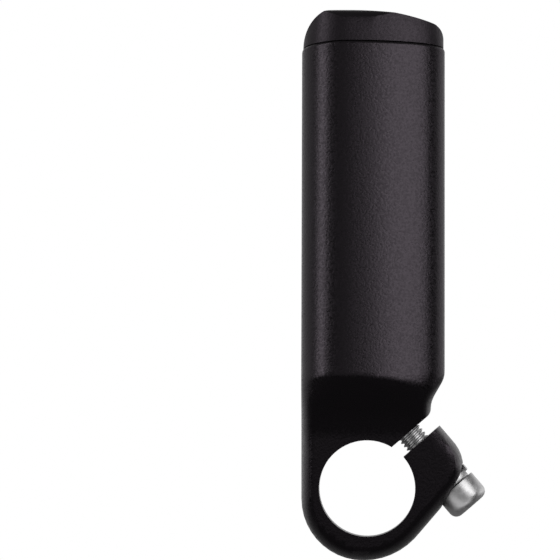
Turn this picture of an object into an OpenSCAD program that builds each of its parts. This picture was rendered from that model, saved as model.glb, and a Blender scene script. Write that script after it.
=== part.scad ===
/* [Handlebar clamp] */
// Diameter of the handlebar that the clamp goes round
bar_d = 22.2; // [20:0.1:25.4]
// Thickness of the clamp, measured along the handlebar
clamp_t = 15; // [12:0.5:20]
// Wall of the ring on the side away from the bolt
side_wall = 4.1; // [3.2:0.1:6]
// Wall of the ring at its lowest point
base_wall = 5.6; // [4:0.1:8]
// Place of that lowest point, towards the bolt from the handlebar's axis
base_x = -0.9; // [-1.5:0.1:0]
// Wall of the ring between its lowest point and the bolt
slant_wall = 4.8; // [3.8:0.1:6]
// How far the rolled edge of the clamp reaches in from its outline
edge_roll = 3; // [1.5:0.1:3.2]

/* [Clamp slot and ear] */
// Direction of the slot, above the horizontal
slot_angle = 40.8; // [35:0.2:48]
// Width of the slot with the bolt slack
slot_w = 3.5; // [2:0.1:4.5]
// Reach of the ear, measured along the slot from the handlebar's axis
ear_reach = 22.1; // [21.4:0.1:24]
// Radius of the ear's outer corner
ear_corner = 9; // [6:0.1:10]
// Taper of the ear's outer side towards its tip
ear_taper = 8.7; // [4:0.1:12]
// How far the shallow bevel of the ear and the jaw reaches in from their outline
ear_bevel_w = 4.2; // [2.5:0.1:5]
// Depth of that bevel at the outline
ear_bevel = 0.8; // [0:0.1:1.2]
// How far the rolled edge of the ear and the jaw reaches in from their outline
ear_roll = 1.9; // [1:0.1:3]
// Radius of the jaw's corner at the open end of the slot
jaw_corner = 2.5; // [0.5:0.1:3]

/* [Grip] */
// Width of the grip
grip_w = 33.1; // [30:0.1:38]
// Thickness of the grip, square to its axis
grip_t = 23.4; // [20:0.1:28]
// Lean of the grip's axis away from the clamp's middle plane
grip_tilt = 14.3; // [8:0.1:18]
// Height of the end cap's seam above the handlebar's axis
grip_top = 100.8; // [80:0.2:140]
// Distance of the grip's axis outboard of the clamp's middle, at the height of the handlebar
grip_set = 8.1; // [6:0.1:10]
// Wall of the hollow grip
grip_wall = 2.4; // [1.6:0.1:3.5]
// Depth of the hollow below the seam
hollow_len = 62; // [20:1:64]
// Rounding of the grip's upper edge
lip_r = 0.9; // [0.3:0.1:1.2]

/* [Shoulder between grip and clamp] */
// Slope of the shoulder away from the grip's direction
shoulder_angle = 30; // [25:1:36]
// Height at which the outboard side of the shoulder leaves the clamp
shoulder_out_z = 15.3; // [14:0.1:17]
// Height at which the inboard side of the shoulder leaves the clamp
shoulder_in_z = 20.5; // [18:0.1:22]
// Height at which the bolt side of the shoulder leaves the clamp
shoulder_bolt_z = 20; // [19:0.1:22]
// Radius of the bow of the shoulder's upper edge, seen along the handlebar
shoulder_bow_r = 38; // [30:1:120]
// Reach of the clamp's fixed jaw towards the bolt side
jaw_reach = 14.7; // [14:0.1:16]

/* [End cap] */
// Height of the cap above the seam, at the highest place of its crown
cap_h = 8; // [7:0.1:10]
// Step from the grip's outline in to the cap's
cap_step = 0.3; // [0.1:0.05:0.8]
// Length of the cap's spigot inside the grip
spigot_len = 12; // [8:0.5:18]
// Wall of the spigot
spigot_wall = 1.8; // [1.2:0.1:2.5]
// Clearance between the spigot and the hollow of the grip
spigot_clear = 0.1; // [0.05:0.01:0.2]
// Depth of the thumb groove below the ridges
groove_depth = 2.2; // [1:0.1:3]
// Radius of the thumb groove across the cap
groove_r = 18.1; // [16:0.1:30]
// Radius over which the floor of the groove falls towards both its ends
groove_fall_r = 51; // [36:1:80]
// Radius of the crown along the top of the cap
crown_r = 107; // [80:1:200]
// Place of the highest point of the crown, from the middle of the grip
crown_x = -11; // [-16:0.5:0]
// Corner of the cap on the side away from the bolt
cap_side_r = 7.9; // [5:0.1:9]
// Corner of the cap on the bolt's side
cap_bolt_r = 3.1; // [2:0.1:6]
// Rounding of the cap's two long shoulders
horn_r = 3.7; // [3:0.1:6]

/* [Clamp bolt] */
// Nominal diameter of the bolt's thread
bolt_d = 6; // [5:1:6]
// Length of the bolt under its head
bolt_len = 25; // [22:1:30]
// Distance of the bolt's axis from the end of the ear, along the slot
bolt_edge = 6.5; // [6:0.1:7]
// Diameter of the bolt's head
head_d = 10; // [9:0.1:10.4]
// Height of the bolt's head
head_h = 6; // [5:0.1:7]
// Width across the flats of the hexagon socket
socket_af = 5; // [4:0.1:5.5]
// Depth of the hexagon socket
socket_h = 3; // [2:0.1:4]
// Distance of the washer's seat from the face of the slot
seat_t = 10.1; // [9:0.1:11.5]
// Radial clearance of the bolt in the threaded jaw
thread_clear = 0.05; // [0.02:0.01:0.09]
// Radial clearance of the bolt in the ear
hole_clear = 0.3; // [0.2:0.05:0.5]
// Radial clearance of the head in its pocket
pocket_clear = 0.6; // [0.3:0.05:0.8]
// Rounding of the head's outer edge
head_edge_r = 1.9; // [0.3:0.1:2]
// Bevel of the bolt's tip
tip_bevel = 0.8; // [0.3:0.1:1.2]
// Depth of the threaded hole past the bolt's tip
thread_runout = 2; // [1:0.5:4]

/* [Spring washer] */
// Thickness of the washer's wire
washer_t = 1.6; // [1:0.1:2]
// Outer diameter of the washer
washer_d = 9.8; // [9:0.1:10]
// Height from the washer's lowest point to its highest, with the bolt slack
washer_free = 2.7; // [2.2:0.1:3.4]
// Opening between the washer's two ends, as an angle
washer_gap = 14; // [8:1:30]
// Gap on both faces of the washer and round its hole
washer_clear = 0.05; // [0.03:0.01:0.1]

/* [Hidden] */
$fn = 96;

// Segments of a section between its left and right edges, and turns of a rounded end
across = 36;
// Where the section of the grip is fullest, how far from there the bow has its highest place, and the
// level of the section's two widest points
peak_out = -5;
peak_in = -2;
bow_shift = -2;
wide_left = 2.5;
wide_right = 3.5;
// Reach of the blends at the top and at the foot of the shoulder
blend_top = 0.8;
blend_foot = 2.2;
blend_jaw = 0.9;
// Height over which the clamp turns into the grip, and height of the whole shoulder
turn_h = 10;
shoulder_h = 12.6;

bar_r = bar_d / 2;
clamp_half = clamp_t / 2;
side_x = bar_r + side_wall;
base_z = bar_r + base_wall;
slant_reach = bar_r + slant_wall;
bolt_s = ear_reach - bolt_edge;
cap_half = grip_w / 2 - cap_step;
groove_x = -1;
groove_y = 0.4;
// Levels along the bolt: the underside of its head and its tip
head_t = seat_t + washer_free + 2 * washer_clear;
tip_t = head_t - bolt_len;
// Where the opening of the washer faces
washer_turn = 200;
grip_x = grip_w / 2 - side_x;
grip_y = grip_top * tan(grip_tilt) - grip_set;
grip_half = grip_t / 2;

// Two arcs meet at the lowest point of the ring: one is tangent to its side, one to its slanted flank
slant_angle = slot_angle - 90 + ear_taper;
nx = cos(slant_angle);
nz = -sin(slant_angle);
side_r = side_x + base_x;
side_z = side_r - base_z;
flank_r = (slant_reach - nx * base_x - nz * base_z) / (1 - nz);
flank_z = flank_r - base_z;
// Centre of the ear's corner, along the slot and along the bolt
ear_s = ear_reach - ear_corner;
ear_t = (slant_reach - ear_corner - ear_s * sin(ear_taper)) / cos(ear_taper);

function along_slot(x, z) = x * cos(slot_angle) + z * sin(slot_angle);
function along_bolt(x, z) = x * sin(slot_angle) - z * cos(slot_angle);

// Smaller and larger of two values, rounded over where they are closer than k
function soft_min(a, b, k) = min(a, b) - pow(max(k - abs(a - b), 0), 2) / (4 * k);
function soft_max(a, b, k) = -soft_min(-a, -b, k);

// Reach of the body at height z: on the grip, on the sloping shoulder and on the jaw
function axis_y(z) = z * tan(grip_tilt) - grip_set;
function grip_level(z, v) = axis_y(z) - v / cos(grip_tilt);
function ramp(z, foot, foot_z) = foot + (z - foot_z) * tan(shoulder_angle);
function shoulder(z, grip_side, foot, foot_z, foot_blend) =
    soft_max(soft_min(grip_side, ramp(z, foot, foot_z), blend_top), foot, foot_blend);
function jaw_x(z) = shoulder(z, grip_w - side_x, jaw_reach, shoulder_bolt_z, blend_jaw);

// Distance of a point inside the outline of the clamp
function ring_inset(x, z) = x < base_x
    ? (z < side_z ? side_r - norm([x - base_x, z - side_z]) : side_r)
    : atan2(z - flank_z, x - base_x) < slant_angle ? flank_r - norm([x - base_x, z - flank_z]) : flank_r;
function ear_inset(s, t) = let (a = atan2(t - ear_t, s - ear_s))
    a > 0 && a < 90 - ear_taper ? ear_corner - norm([s - ear_s, t - ear_t]) : ear_reach - s;
function inset(x, z) = let (s = along_slot(x, z), t = along_bolt(x, z))
    min(x + side_x, slant_reach - s * sin(ear_taper) - t * cos(ear_taper), ring_inset(x, z),
        t > -slot_w / 2 ? ear_inset(s, t) : jaw_x(z) - x);

// Outline of the clamp at height z, found between a point inside and one outside
function edge_x(z, inside, outside, steps = 22) = let (mid = (inside + outside) / 2)
    steps == 0 ? inside
    : inset(mid, z) > 0 ? edge_x(z, mid, outside, steps - 1) : edge_x(z, inside, mid, steps - 1);

// Share of the ear's bevel and rolled edge at a place, starting beyond the bolt
function ear_share(x, z) = min(max((along_slot(x, z) - bolt_s) / bolt_edge * 2, 0), 1);

// Share of the full thickness at a distance from the outline, and at a place across the grip
function roll(d, width) = d >= width ? 1 : sqrt(1 - pow(1 - max(d, 0) / width, 2));
function oval(x, peak, left, right) = let (q = (x - peak) / ((x > peak ? right : left) - peak))
    sqrt(max(1 - q * q, 0));

// Share of the grip in the body's section at height z
shoulder_top = shoulder_out_z + shoulder_h;
function grip_share(z) = let (q = min(max((z - shoulder_out_z) / turn_h, 0), 1))
    q * q * (3 - 2 * q);

// Level of the body's surface at height z: side is -1 on the outboard face and 1 inboard
function face_y(x, z, side, left, right) = let (
    foot_z = side < 0 ? shoulder_out_z : shoulder_in_z,
    peak = grip_x + (side < 0 ? peak_out : peak_in),
    wide = side * grip_level(z, x < peak ? wide_left : wide_right),
    full = side * grip_level(z, -side * grip_half),
    bow = pow(x - peak - bow_shift, 2) / (2 * shoulder_bow_r),
    limit = shoulder(z, full, clamp_half, foot_z - bow, blend_foot),
    grip = wide + (limit - wide) * oval(x, peak, left, right),
    d = inset(x, z),
    ear = ear_share(x, z),
    bevel = ear * ear_bevel * pow(max(1 - d / ear_bevel_w, 0), 2),
    reach = shoulder(z, full, clamp_half, foot_z, blend_foot) - bevel,
    plate = reach * roll(d, edge_roll + (ear_roll - edge_roll) * ear),
    share = grip_share(z))
    side * (plate * (1 - share) + grip * share);

function ring_points(z) = let (
    left = edge_x(z, base_x, -2 * side_x),
    right = edge_x(z, base_x, 2 * ear_reach))
    [for (j = [0 : 2 * across - 1]) let (
        a = 180 * (j <= across ? j : 2 * across - j) / across,
        x = left + (right - left) * (1 - cos(a)) / 2)
        [x, face_y(x, z, j <= across ? -1 : 1, left, right), z]];

// Heights of the sections: round the ring's arc, past the ear and up the shoulder
arc_steps = 11;
ear_steps = 12;
shoulder_steps = 18;
shoulder_z = 12.6;
levels = concat(
    [for (i = [1 : arc_steps]) side_z - side_r * cos(90 * i / arc_steps)],
    [for (i = [1 : ear_steps]) side_z + (shoulder_z - side_z) * i / ear_steps],
    [for (i = [1 : shoulder_steps]) shoulder_z + (shoulder_top - shoulder_z) * i / shoulder_steps]);

// The last sections run along the grip's axis, in planes square to it, with a rounded lip
axis_dir = [0, sin(grip_tilt), cos(grip_tilt)];
seam_c = [grip_x, grip_y, grip_top];
function slide(p, below) = p + axis_dir * ((seam_c - p) * axis_dir - below);
function shrink(p, by) = let (c = slide(p, 0) - seam_c, r = norm(c)) p - c * by / r;
lip_steps = 4;
function top_rings() = let (last = ring_points(shoulder_top))
    [for (i = [0 : lip_steps]) let (a = 90 * i / lip_steps)
        [for (p = last) shrink(slide(p, lip_r * (1 - sin(a))), lip_r * (1 - cos(a)))]];

module loft(rings, foot) {
    n = len(rings[0]);
    m = len(rings);
    points = concat([foot], [for (r = rings) each r]);
    faces = concat(
        [for (j = [0 : n - 1]) [0, 1 + j, 1 + (j + 1) % n]],
        [for (i = [0 : m - 2], j = [0 : n - 1]) let (a = 1 + i * n + j, b = 1 + i * n + (j + 1) % n)
            each [[a, a + n, b + n], [a, b + n, b]]],
        [[for (j = [n - 1 : -1 : 0]) 1 + (m - 1) * n + j]]);
    polyhedron(points, faces, convexity = 6);
}

module on_grip() { translate(seam_c) rotate([-grip_tilt, 0, 0]) children(); }
// Along the bolt: z runs out of the slot's face towards the head, with the handlebar's axis along y
module on_bolt() {
    rotate([0, -slot_angle, 0]) translate([bolt_s, 0, 0]) rotate([0, 180, 0]) children();
}

// Section of the grip, drawn in by a step all round
function grip_outline(step, turns = 64) = [for (i = [0 : turns - 1]) let (
    a = 360 * i / turns,
    right = cos(a) >= 0,
    out = sin(a) >= 0,
    peak = out ? peak_out : peak_in,
    wide = right ? wide_right : wide_left,
    u = peak + ((right ? grip_w / 2 : -grip_w / 2) - peak) * abs(cos(a)),
    v = wide + ((out ? grip_half : -grip_half) - wide) * abs(sin(a)),
    du = right ? -step : step)
    [u + du * abs(cos(a)), -(v - (out ? step : -step) * abs(sin(a)))]];

module handle_body() {
    color("#1b1a1c") difference() {
        loft(concat([for (z = levels) ring_points(z)], top_rings()), [base_x, 0, -base_z]);
        rotate([90, 0, 0]) cylinder(r = bar_r, h = 2 * clamp_t, center = true);
        rotate([0, -slot_angle, 0]) translate([0, -clamp_t, 0]) cube([2 * ear_reach, 2 * clamp_t, slot_w]);
        on_bolt() {
            cylinder(r = bolt_d / 2 + hole_clear, h = 2 * seat_t);
            translate([0, 0, seat_t]) cylinder(r = head_d / 2 + pocket_clear, h = 2 * head_h);
            translate([0, 0, tip_t - thread_runout])
                cylinder(r = bolt_d / 2 + thread_clear, h = thread_runout - tip_t - slot_w / 2);
        }
        on_grip() translate([0, 0, -hollow_len]) linear_extrude(hollow_len + 1)
            polygon(grip_outline(grip_wall));
        rotate([90, 0, 0]) linear_extrude(2 * clamp_t, center = true) jaw_corner_cut();
    }
}

// What is cut away to round the jaw's corner, seen along the handlebar with z as y
module jaw_corner_cut() {
    turn = (90 - slot_angle) / 2;
    centre = [jaw_reach - jaw_corner,
        ((jaw_reach - jaw_corner) * sin(slot_angle) + slot_w + jaw_corner) / cos(slot_angle)];
    far = jaw_corner / cos(turn) + 1;
    difference() {
        polygon([centre, centre + [far, 0], centre + far * [cos(turn), -sin(turn)] / cos(turn),
            centre + far * [sin(slot_angle), -cos(slot_angle)]]);
        translate(centre) circle(jaw_corner);
    }
}

// Outline of the cap seen along the handlebar: a crown and a corner at each end
module cap_profile() {
    crown = [crown_x, cap_h - crown_r];
    sides = [[-1, cap_side_r], [1, cap_bolt_r]];
    corners = [for (c = sides) let (x = c[0] * cap_half, d = crown_r - c[1], u = x - c[0] * c[1])
        [u, crown[1] + sqrt(d * d - pow(u - crown[0], 2))]];
    above = [for (i = [0, 1]) crown + (corners[i] - crown) * (crown_r + 1) / (crown_r - sides[i][1])];
    intersection() {
        translate(crown) circle(crown_r, $fn = 360);
        union() {
            polygon([[-cap_half, -1], [cap_half, -1], [cap_half, corners[1][1]], corners[1], above[1],
                above[0], corners[0], [-cap_half, corners[0][1]]]);
            for (i = [0, 1]) translate(corners[i]) circle(sides[i][1]);
        }
    }
}

// Outline of the cap seen across the grip: flat sides with rounded shoulders
module cap_section() {
    half = grip_half - cap_step;
    translate([-half, -1]) square([2 * half, cap_h - horn_r + 1]);
    translate([horn_r - half, -1]) square([2 * (half - horn_r), cap_h + 1]);
    for (side = [-1, 1]) translate([side * (half - horn_r), cap_h - horn_r]) circle(horn_r);
}

module thumb_groove() {
    translate([groove_x, groove_y, cap_h - groove_depth - groove_fall_r]) rotate([90, 0, 0])
        rotate_extrude($fn = 240) translate([groove_fall_r + groove_r, 0]) circle(groove_r, $fn = 180);
}

module end_cap() {
    fit = grip_wall + spigot_clear;
    color("#2b2a2a") on_grip() difference() {
        union() {
            intersection() {
                linear_extrude(cap_h + 1) polygon(grip_outline(cap_step));
                rotate([90, 0, 0]) linear_extrude(2 * grip_t, center = true) cap_profile();
                rotate([90, 0, 90]) linear_extrude(2 * grip_w, center = true) cap_section();
            }
            translate([0, 0, -spigot_len]) linear_extrude(spigot_len + 1) polygon(grip_outline(fit));
        }
        translate([0, 0, -spigot_len - 1]) linear_extrude(spigot_len + 1)
            polygon(grip_outline(fit + spigot_wall));
        thumb_groove();
    }
}

module clamp_bolt() {
    color("#c8c9cb") on_bolt() difference() {
        union() {
            translate([0, 0, tip_t + tip_bevel]) cylinder(d = bolt_d, h = bolt_len - tip_bevel + 1);
            translate([0, 0, tip_t]) cylinder(d1 = bolt_d - 2 * tip_bevel, d2 = bolt_d, h = tip_bevel);
            translate([0, 0, head_t]) rotate_extrude() {
                square([head_d / 2, head_h - head_edge_r]);
                square([head_d / 2 - head_edge_r, head_h]);
                translate([head_d / 2 - head_edge_r, head_h - head_edge_r]) intersection() {
                    circle(head_edge_r);
                    square(head_edge_r);
                }
            }
        }
        translate([0, 0, head_t + head_h - socket_h])
            cylinder(d = socket_af / cos(30), h = socket_h + 1, $fn = 6);
    }
}

// The washer is one turn of flat wire whose end stands above its start
module spring_washer() {
    turns = 40;
    inner = bolt_d / 2 + 2 * washer_clear;
    sections = [for (i = [0 : turns]) let (
        share = i / turns,
        a = washer_gap / 2 + (360 - washer_gap) * share,
        z = seat_t + washer_clear + (washer_free - washer_t) * share)
        for (c = [[inner, z], [washer_d / 2, z], [washer_d / 2, z + washer_t], [inner, z + washer_t]])
            [c[0] * cos(a), c[0] * sin(a), c[1]]];
    faces = concat(
        [[0, 1, 2, 3]],
        [for (i = [0 : turns - 1], k = [0 : 3]) let (a = 4 * i + k, b = 4 * i + (k + 1) % 4)
            each [[a, a + 4, b + 4], [a, b + 4, b]]],
        [[for (k = [3 : -1 : 0]) 4 * turns + k]]);
    color("#a9abad") on_bolt() rotate([0, 0, washer_turn]) polyhedron(sections, faces);
}

handle_body();
end_cap();
clamp_bolt();
spring_washer();
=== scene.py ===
# Blender scene of a bicycle bar end: a hollow black grip that leans off a split handlebar clamp.
from math import atan, cos, pi, radians, sin

import bpy
from mathutils import Matrix, Vector


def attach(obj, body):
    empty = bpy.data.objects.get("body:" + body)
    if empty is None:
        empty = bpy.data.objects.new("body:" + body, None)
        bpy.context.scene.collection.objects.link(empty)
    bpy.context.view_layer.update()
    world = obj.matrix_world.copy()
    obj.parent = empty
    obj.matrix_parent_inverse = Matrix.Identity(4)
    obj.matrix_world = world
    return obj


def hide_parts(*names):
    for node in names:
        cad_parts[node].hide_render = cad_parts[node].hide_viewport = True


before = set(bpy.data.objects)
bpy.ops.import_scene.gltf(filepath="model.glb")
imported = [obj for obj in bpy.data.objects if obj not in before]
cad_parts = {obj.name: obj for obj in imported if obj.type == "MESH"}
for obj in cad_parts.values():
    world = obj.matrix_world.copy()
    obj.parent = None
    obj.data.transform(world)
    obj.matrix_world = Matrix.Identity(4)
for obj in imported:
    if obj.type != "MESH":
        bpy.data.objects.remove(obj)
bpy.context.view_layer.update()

# Camera: a long lens, level with the middle of the bar end, looking along the handlebar at the
# outboard face. The part stands in the right half of the picture, its foot at the lower edge.
PICTURE_PX = 560
MM_PER_PX = 0.2308
BORE_PX = (367.2, 488.1)
CAMERA_AWAY = 3.2
CAMERA_X = 0.02
SENSOR_MM = 36
picture_width = PICTURE_PX * MM_PER_PX / 1000
aim_x = (PICTURE_PX / 2 - BORE_PX[0]) * MM_PER_PX / 1000
aim_z = (BORE_PX[1] - PICTURE_PX / 2) * MM_PER_PX / 1000
bpy.ops.object.camera_add(
    location=(CAMERA_X, -CAMERA_AWAY, aim_z),
    rotation=(pi / 2, 0, atan((CAMERA_X - aim_x) / CAMERA_AWAY)))
camera = bpy.context.object
camera.name = "camera"
camera.data.sensor_width = SENSOR_MM
camera.data.lens = SENSOR_MM * CAMERA_AWAY / picture_width
camera.data.clip_start = 0.05
camera.data.clip_end = 40
bpy.context.scene.camera = camera
bpy.context.scene.view_settings.view_transform = "Standard"

# Studio: a white wall stands behind the part at its own level, brighter on the bolt's side. The
# ceiling and the wall behind the camera are dim, and the rest is all but dark, so that flat faces
# turned to the camera stay black and the edges turned away from it catch the light.
WALL = 0.8
WALL_BOLT_SIDE = 0.3
CEILING = 0.16
DARK = 0.003
CAMERA_WALL = 0.26
# Each light fades over a span of the Y (depth) or Z (height) of the direction that is looked in.
WALL_DEPTH = (-0.3, 0.25)
WALL_HEIGHT = (0.42, 0.72)
CEILING_HEIGHT = (0.1, 1)
CAMERA_WALL_DEPTH = (-0.9, -0.6)
CAMERA_WALL_HEIGHT = (-0.35, -0.05)


# A level that eases from one value to another over a span.
def fade(tree, along, span, levels=(0, 1)):
    soft = tree.nodes.new("ShaderNodeMapRange")
    soft.interpolation_type = "SMOOTHSTEP"
    for end, place, level in zip(("Min", "Max"), span, levels):
        soft.inputs["From " + end].default_value = place
        soft.inputs["To " + end].default_value = level
    tree.links.new(along, soft.inputs["Value"])
    return soft.outputs["Result"]


# A sum of sockets and plain numbers.
def work_out(tree, operation, *values):
    step = tree.nodes.new("ShaderNodeMath")
    step.operation = operation
    for entry, value in zip(step.inputs, values):
        if isinstance(value, bpy.types.NodeSocket):
            tree.links.new(value, entry)
        else:
            entry.default_value = value
    return step.outputs[0]


world = bpy.data.worlds.new("studio_room")
bpy.context.scene.world = world
world.use_nodes = True
tree = world.node_tree
nodes, links = tree.nodes, tree.links
nodes.clear()
direction = nodes.new("ShaderNodeTexCoord")
look = nodes.new("ShaderNodeSeparateXYZ")
links.new(direction.outputs["Generated"], look.inputs[0])
wall_level = work_out(tree, "MULTIPLY_ADD", look.outputs["X"], WALL_BOLT_SIDE, WALL)
off_level = work_out(tree, "ABSOLUTE", look.outputs["Z"])
wall_part = work_out(
    tree, "MULTIPLY",
    fade(tree, look.outputs["Y"], WALL_DEPTH), fade(tree, off_level, WALL_HEIGHT, (1, 0)))
ceiling_light = fade(tree, look.outputs["Z"], CEILING_HEIGHT, (DARK, CEILING))
back_light = work_out(tree, "MULTIPLY_ADD", wall_part, wall_level, ceiling_light)
room_light = work_out(
    tree, "MULTIPLY_ADD",
    fade(tree, look.outputs["Y"], CAMERA_WALL_DEPTH, (CAMERA_WALL, 0)),
    fade(tree, look.outputs["Z"], CAMERA_WALL_HEIGHT), back_light)
room = nodes.new("ShaderNodeBackground")
links.new(room_light, room.inputs["Strength"])
paper = nodes.new("ShaderNodeBackground")
paper.inputs["Color"].default_value = (1, 1, 1, 1)
paper.inputs["Strength"].default_value = 1
seen = nodes.new("ShaderNodeLightPath")
pick = nodes.new("ShaderNodeMixShader")
links.new(seen.outputs["Is Camera Ray"], pick.inputs[0])
links.new(room.outputs[0], pick.inputs[1])
links.new(paper.outputs[0], pick.inputs[2])
world_out = nodes.new("ShaderNodeOutputWorld")
links.new(pick.outputs[0], world_out.inputs[0])

# Two soft boxes stand in front of the part: a broad one on the bolt's side, above the camera's
# level, and a tall narrow one round on the other side. A third, the last, lies low in front of the
# clamp and is linked to the bolt and its washer alone, as a reflector is held out for bright metal.
for name, azimuth, lift, away, wide, high, strength, target in (
        ("soft_box_right", 37, 30, 0.45, 0.33, 0.31, 1.9, (0, 0, 0.05)),
        ("soft_box_left", -66, 25, 0.6, 0.2, 0.52, 2.3, (0, 0, 0.06)),
        ("soft_box_low", -12, -34, 0.14, 0.3, 0.1, 0.6, (0.02, 0, 0))):
    across, up = radians(azimuth), radians(lift)
    target = Vector(target)
    stand = Vector((sin(across) * cos(up), -cos(across) * cos(up), sin(up))) * away + target
    bpy.ops.object.light_add(type="AREA", location=stand)
    soft_box = bpy.context.object
    soft_box.name = name
    soft_box.rotation_euler = (target - stand).to_track_quat("-Z", "Y").to_euler()
    soft_box.data.shape = "RECTANGLE"
    soft_box.data.size = wide
    soft_box.data.size_y = high
    soft_box.data.energy = strength * pi * wide * high
    soft_box.visible_camera = False
metal_pieces = bpy.data.collections.new("metal_pieces")
soft_box.light_linking.receiver_collection = metal_pieces

# Floor: a sheet of pale paper below the part, greyer under it and in front, so that little light
# comes up at the shoulder. It is white in the picture, keeps the part's shadow, and its far end
# shows in gloss.
FLOOR_Z = -0.12
FLOOR_SIZE = 5
PAPER_GREYS = (0.15, 0.4)
PAPER_SPAN = (-0.05, 0.1)
GLOSS_GLOW = 0.2
GLOSS_SPAN = (0.2, 0.5)
SEEN_GLOW = 0.85
bpy.ops.mesh.primitive_plane_add(size=FLOOR_SIZE, location=(0, 0, FLOOR_Z))
floor = bpy.context.object
floor.name = "floor"
floor_paper = bpy.data.materials.new("floor_paper")
floor_paper.use_nodes = True
tree = floor_paper.node_tree
nodes, links = tree.nodes, tree.links
shader = nodes["Principled BSDF"]
shader.inputs["Roughness"].default_value = 0.9
shader.inputs["Emission Color"].default_value = (1, 1, 1, 1)
where = nodes.new("ShaderNodeTexCoord")
spot = nodes.new("ShaderNodeSeparateXYZ")
links.new(where.outputs["Object"], spot.inputs[0])
links.new(fade(tree, spot.outputs["Y"], PAPER_SPAN, PAPER_GREYS), shader.inputs["Base Color"])
seen = nodes.new("ShaderNodeLightPath")
in_gloss = work_out(
    tree, "MULTIPLY", seen.outputs["Is Glossy Ray"],
    fade(tree, spot.outputs["Y"], GLOSS_SPAN, (0, GLOSS_GLOW)))
glow = work_out(tree, "MULTIPLY_ADD", seen.outputs["Is Camera Ray"], SEEN_GLOW, in_gloss)
links.new(glow, shader.inputs["Emission Strength"])
floor.data.materials.append(floor_paper)

# Body: one aluminium casting, hollow in the grip, bored and slotted for the handlebar, tumbled to
# a fine matt surface and anodised black. Its edges are broken, so that each has a thin light line.
EDGE_BREAK = 0.00035
BROKEN_ANGLE = radians(32)
ROUND_ANGLE = radians(40)
MERGE = 0.000002
FLAT = radians(0.4)


# A new piece with the shape of a CAD node, its loose triangles joined and its flat faces made whole.
def take_shape(node, name):
    bpy.ops.object.select_all(action="DESELECT")
    cad_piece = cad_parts[node]
    piece = cad_piece.copy()
    piece.data = cad_piece.data.copy()
    for key in list(piece.keys()):
        del piece[key]
    bpy.context.scene.collection.objects.link(piece)
    piece.name = name
    piece.select_set(True)
    bpy.context.view_layer.objects.active = piece
    bpy.ops.object.mode_set(mode="EDIT")
    bpy.ops.mesh.select_all(action="SELECT")
    bpy.ops.mesh.remove_doubles(threshold=MERGE)
    bpy.ops.mesh.dissolve_limited(angle_limit=FLAT)
    bpy.ops.object.mode_set(mode="OBJECT")
    return piece


body = take_shape("handle_body", "body_casting")
edges = body.modifiers.new("broken_edges", "BEVEL")
edges.width = EDGE_BREAK
edges.segments = 3
edges.limit_method = "ANGLE"
edges.angle_limit = BROKEN_ANGLE
edges.miter_outer = "MITER_ARC"
bpy.ops.object.modifier_apply(modifier="broken_edges")
bpy.ops.object.shade_smooth_by_angle(angle=ROUND_ANGLE)
even = body.modifiers.new("even_shading", "WEIGHTED_NORMAL")
even.keep_sharp = True
bpy.ops.object.modifier_apply(modifier="even_shading")

# The tumbled grain is about half a millimetre across, with finer grain in it, and shows both in the
# gloss and in relief.
GRAIN = 1900
GRAIN_SPAN = (0.35, 0.65)
GRAIN_DEPTH = 0.0001
SATIN = (0.22, 0.38)
black = bpy.data.materials.new("black_anodised")
black.use_nodes = True
nodes, links = black.node_tree.nodes, black.node_tree.links
shader = nodes["Principled BSDF"]
shader.inputs["Base Color"].default_value = (0.0024, 0.0021, 0.0025, 1)
shader.inputs["Specular Tint"].default_value = (1.0, 0.86, 1.0, 1)
where = nodes.new("ShaderNodeTexCoord")
grain = nodes.new("ShaderNodeTexNoise")
grain.inputs["Scale"].default_value = GRAIN
grain.inputs["Detail"].default_value = 3
links.new(where.outputs["Object"], grain.inputs["Vector"])
satin = nodes.new("ShaderNodeMapRange")
satin.name = "satin"
for end, share, roughness in zip(("Min", "Max"), GRAIN_SPAN, SATIN):
    satin.inputs["From " + end].default_value = share
    satin.inputs["To " + end].default_value = roughness
links.new(grain.outputs["Fac"], satin.inputs["Value"])
links.new(satin.outputs["Result"], shader.inputs["Roughness"])
relief = nodes.new("ShaderNodeBump")
relief.inputs["Strength"].default_value = 0.5
relief.inputs["Distance"].default_value = GRAIN_DEPTH
links.new(grain.outputs["Fac"], relief.inputs["Height"])
links.new(relief.outputs["Normal"], shader.inputs["Normal"])
body.data.materials.clear()
body.data.materials.append(black)
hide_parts("handle_body")
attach(body, "bar_end")

# End cap: a moulded plug of black plastic with a thumb groove on top and soft edges, pressed into
# the hollow of the grip. It is a little duller than the anodised casting.
CAP_ROUND = 0.0005
CAP_ANGLE = radians(24)
CAP_SATIN = (0.35, 0.45)
cap = take_shape("end_cap", "end_plug")
edges = cap.modifiers.new("soft_edges", "BEVEL")
edges.width = CAP_ROUND
edges.segments = 4
edges.limit_method = "ANGLE"
edges.angle_limit = CAP_ANGLE
bpy.ops.object.modifier_apply(modifier="soft_edges")
bpy.ops.object.shade_smooth_by_angle(angle=ROUND_ANGLE)
cap_black = black.copy()
cap_black.name = "black_moulding"
cap_satin = cap_black.node_tree.nodes["satin"]
cap_satin.inputs["To Min"].default_value = CAP_SATIN[0]
cap_satin.inputs["To Max"].default_value = CAP_SATIN[1]
cap.data.materials.clear()
cap.data.materials.append(cap_black)
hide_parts("end_cap")
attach(cap, "bar_end")

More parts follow.
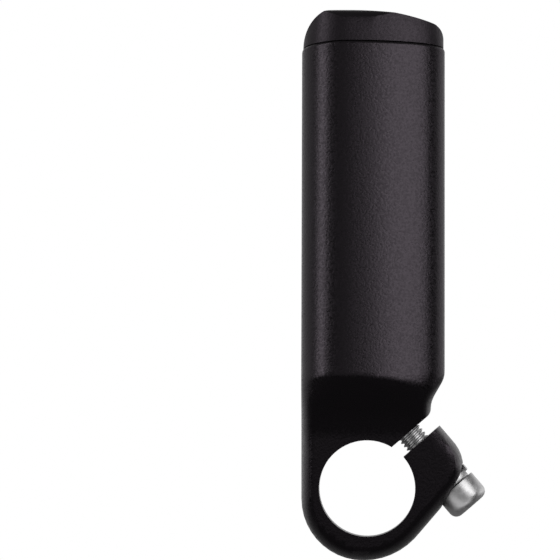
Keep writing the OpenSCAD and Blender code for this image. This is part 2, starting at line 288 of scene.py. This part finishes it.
# Clamp bolt: an M6 x 25 hexagon socket head screw, cold formed from steel with a rolled thread and
# zinc plated. It screws into the fixed jaw through the ear, and its head presses on the washer.
PITCH = 0.001
SHANK_R = 0.003
CREST_R = 0.00298
ROOT_R = 0.0025
TOOTH = (
    (0, ROOT_R), (0.125, ROOT_R), (0.41, CREST_R), (0.59, CREST_R), (0.875, ROOT_R), (1, ROOT_R))
THREAD_TURNS = 29
THREAD_STEPS = 48
THREAD_MERGE = 0.000004
TIP_BEVEL = 0.0008
HEAD_R = 0.005
HEAD_H = 0.006
HEAD_ROUND = 0.0019
UNDER_HEAD_ROUND = 0.0002
SHANK_IN_HEAD = 0.001
SOCKET_R = 0.0025 / cos(pi / 6)
SOCKET_H = 0.003
MOUTH_IN = 0.0026
MOUTH_OUT = 0.0032
MOUTH_H = 0.0005
METAL_ANGLE = radians(38)
ON_RIM = 0.00001

# Its axis lies square to the slot of the clamp, BOLT_S away from the handlebar's. TIP_T and HEAD_T
# are measured along it from the slot's middle plane, to the tip and to the underside of the head.
TIP_T = -0.0121
HEAD_T = 0.0129
BOLT_S = 0.0156
slot_angle = radians(40.8)
bolt_place = Matrix((
    (-cos(slot_angle), 0, sin(slot_angle), BOLT_S * cos(slot_angle)),
    (0, 1, 0, 0),
    (-sin(slot_angle), 0, -cos(slot_angle), BOLT_S * sin(slot_angle)),
    (0, 0, 0, 1)))

# One tooth of the thread is drawn and swept along the screw line, longer than the shank, and a plain
# blank with a bevelled tip trims both ends of it.
bpy.ops.object.select_all(action="DESELECT")
tooth = bpy.data.meshes.new("bolt_tooth")
tooth.from_pydata(
    [(radius, 0, PITCH * share) for share, radius in TOOTH],
    [(corner, corner + 1) for corner in range(len(TOOTH) - 1)], [])
thread = bpy.data.objects.new("bolt_thread", tooth)
bpy.context.scene.collection.objects.link(thread)
thread.select_set(True)
bpy.context.view_layer.objects.active = thread
sweep = thread.modifiers.new("screw_line", "SCREW")
sweep.screw_offset = PITCH
sweep.steps = THREAD_STEPS
sweep.render_steps = THREAD_STEPS
sweep.iterations = THREAD_TURNS
bpy.ops.object.modifier_apply(modifier="screw_line")
bpy.ops.object.mode_set(mode="EDIT")
bpy.ops.mesh.select_all(action="SELECT")
bpy.ops.transform.translate(value=(0, 0, TIP_T - 2 * PITCH))
bpy.ops.mesh.remove_doubles(threshold=THREAD_MERGE)
bpy.ops.mesh.fill_holes(sides=0)
bpy.ops.mesh.select_all(action="SELECT")
bpy.ops.mesh.normals_make_consistent(inside=False)
bpy.ops.object.mode_set(mode="OBJECT")


# The ring of edges at one height of a turned piece gets a bevel, or a round of several steps.
def bevel_rim(piece, height, reach, steps):
    bpy.ops.object.mode_set(mode="EDIT")
    bpy.ops.mesh.select_all(action="DESELECT")
    bpy.ops.object.mode_set(mode="OBJECT")
    corners = piece.data.vertices
    for edge in piece.data.edges:
        edge.select = all(abs(corners[v].co.z - height) < ON_RIM for v in edge.vertices)
    bpy.ops.object.mode_set(mode="EDIT")
    bpy.ops.mesh.bevel(offset=reach, segments=steps)
    bpy.ops.object.mode_set(mode="OBJECT")


# The tool trims, cuts or joins the piece, and is used up.
def machine(piece, operation, tool):
    bpy.ops.object.select_all(action="DESELECT")
    piece.select_set(True)
    bpy.context.view_layer.objects.active = piece
    work = piece.modifiers.new("machined", "BOOLEAN")
    work.operation = operation
    work.solver = "EXACT"
    work.object = tool
    bpy.ops.object.modifier_apply(modifier="machined")
    bpy.data.objects.remove(tool)


bpy.ops.object.select_all(action="DESELECT")
bpy.ops.mesh.primitive_cylinder_add(
    vertices=64, radius=SHANK_R, depth=HEAD_T - TIP_T + SHANK_IN_HEAD)
blank = bpy.context.object
blank.name = "bolt_blank"
blank.data.transform(Matrix.Translation((0, 0, (HEAD_T + TIP_T + SHANK_IN_HEAD) / 2)))
bevel_rim(blank, TIP_T, TIP_BEVEL, 1)
machine(blank, "INTERSECT", thread)

# The head has a generous round on its outer edge, a small one under it, and a hexagon socket with a
# bevelled mouth.
bpy.ops.object.select_all(action="DESELECT")
bpy.ops.mesh.primitive_cylinder_add(vertices=96, radius=HEAD_R, depth=HEAD_H)
bolt = bpy.context.object
bolt.name = "clamp_bolt_zinc"
bolt.data.transform(Matrix.Translation((0, 0, HEAD_T + HEAD_H / 2)))
bevel_rim(bolt, HEAD_T + HEAD_H, HEAD_ROUND, 8)
bevel_rim(bolt, HEAD_T, UNDER_HEAD_ROUND, 2)
for sides, inner_r, outer_r, deep in (
        (6, SOCKET_R, SOCKET_R, SOCKET_H), (64, MOUTH_IN, MOUTH_OUT, MOUTH_H)):
    bpy.ops.object.select_all(action="DESELECT")
    bpy.ops.mesh.primitive_cone_add(
        vertices=sides, radius1=inner_r, radius2=outer_r, depth=2 * deep)
    punch = bpy.context.object
    punch.data.transform(Matrix.Translation((0, 0, HEAD_T + HEAD_H)))
    machine(bolt, "DIFFERENCE", punch)
machine(bolt, "UNION", blank)
bolt.data.transform(bolt_place)
bpy.ops.object.shade_smooth_by_angle(angle=METAL_ANGLE)

# The plating is bright where the metal below is smooth, and clouded by its crystals.
CLOUDS = 700
CLOUD_SPAN = (0.3, 0.7)
DULL_ZINC = (0.64, 0.635, 0.64, 1)
BRIGHT_ZINC = (0.8, 0.795, 0.8, 1)
ZINC_SATIN = (0.34, 0.46)
zinc = bpy.data.materials.new("zinc_plate")
zinc.use_nodes = True
nodes, links = zinc.node_tree.nodes, zinc.node_tree.links
shader = nodes["Principled BSDF"]
shader.inputs["Metallic"].default_value = 1
where = nodes.new("ShaderNodeTexCoord")
cloud = nodes.new("ShaderNodeTexNoise")
cloud.inputs["Scale"].default_value = CLOUDS
cloud.inputs["Detail"].default_value = 3
links.new(where.outputs["Object"], cloud.inputs["Vector"])
tone = nodes.new("ShaderNodeValToRGB")
for stop, share, colour in zip(tone.color_ramp.elements, CLOUD_SPAN, (DULL_ZINC, BRIGHT_ZINC)):
    stop.position = share
    stop.color = colour
links.new(cloud.outputs["Fac"], tone.inputs["Fac"])
links.new(tone.outputs["Color"], shader.inputs["Base Color"])
dull = nodes.new("ShaderNodeMapRange")
for end, share, roughness in zip(("Min", "Max"), CLOUD_SPAN, ZINC_SATIN):
    dull.inputs["From " + end].default_value = share
    dull.inputs["To " + end].default_value = roughness
links.new(cloud.outputs["Fac"], dull.inputs["Value"])
links.new(dull.outputs["Result"], shader.inputs["Roughness"])
bolt.data.materials.clear()
bolt.data.materials.append(zinc)
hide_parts("clamp_bolt")
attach(bolt, "bolt_screw")
metal_pieces.objects.link(bolt)

# Spring washer: one left-hand turn of flat spring steel wire, cut through and twisted, so that its
# ends stand apart. It lies loose between the ear and the head of the bolt.
WASHER_T = 0.0016
WASHER_IN = 0.0031
WASHER_OUT = 0.0049
WASHER_RISE = 0.0011
WASHER_SEAT = 0.01015
WASHER_STEPS = 80
WIRE_ROUND = 0.00028
washer_gap = radians(14)
washer_turn = radians(205)
bpy.ops.object.select_all(action="DESELECT")
bpy.ops.mesh.primitive_plane_add(size=1)
washer = bpy.context.object
washer.name = "spring_washer_steel"
washer.data.transform(
    Matrix.Translation(((WASHER_IN + WASHER_OUT) / 2, 0, WASHER_SEAT + WASHER_RISE + WASHER_T / 2))
    @ Matrix.Rotation(pi / 2, 4, "X")
    @ Matrix.Diagonal((WASHER_OUT - WASHER_IN, WASHER_T, 1, 1)))
bpy.ops.object.mode_set(mode="EDIT")
bpy.ops.mesh.select_all(action="SELECT")
bpy.ops.mesh.bevel(offset=WIRE_ROUND, segments=3, affect="VERTICES")
bpy.ops.mesh.delete(type="ONLY_FACE")
bpy.ops.object.mode_set(mode="OBJECT")
sweep = washer.modifiers.new("screw_line", "SCREW")
sweep.angle = 2 * pi - washer_gap
sweep.screw_offset = -WASHER_RISE
sweep.steps = WASHER_STEPS
sweep.render_steps = WASHER_STEPS
bpy.ops.object.modifier_apply(modifier="screw_line")
bpy.ops.object.mode_set(mode="EDIT")
bpy.ops.mesh.select_all(action="SELECT")
bpy.ops.mesh.remove_doubles(threshold=MERGE)
bpy.ops.mesh.fill_holes(sides=0)
bpy.ops.mesh.select_all(action="SELECT")
bpy.ops.mesh.normals_make_consistent(inside=False)
bpy.ops.object.mode_set(mode="OBJECT")
washer.data.transform(bolt_place @ Matrix.Rotation(washer_turn + washer_gap / 2, 4, "Z"))
bpy.ops.object.shade_smooth_by_angle(angle=ROUND_ANGLE)
washer_zinc = zinc.copy()
washer_zinc.name = "washer_zinc"
washer.data.materials.clear()
washer.data.materials.append(washer_zinc)
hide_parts("spring_washer")
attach(washer, "bolt_carriage")
metal_pieces.objects.link(washer)
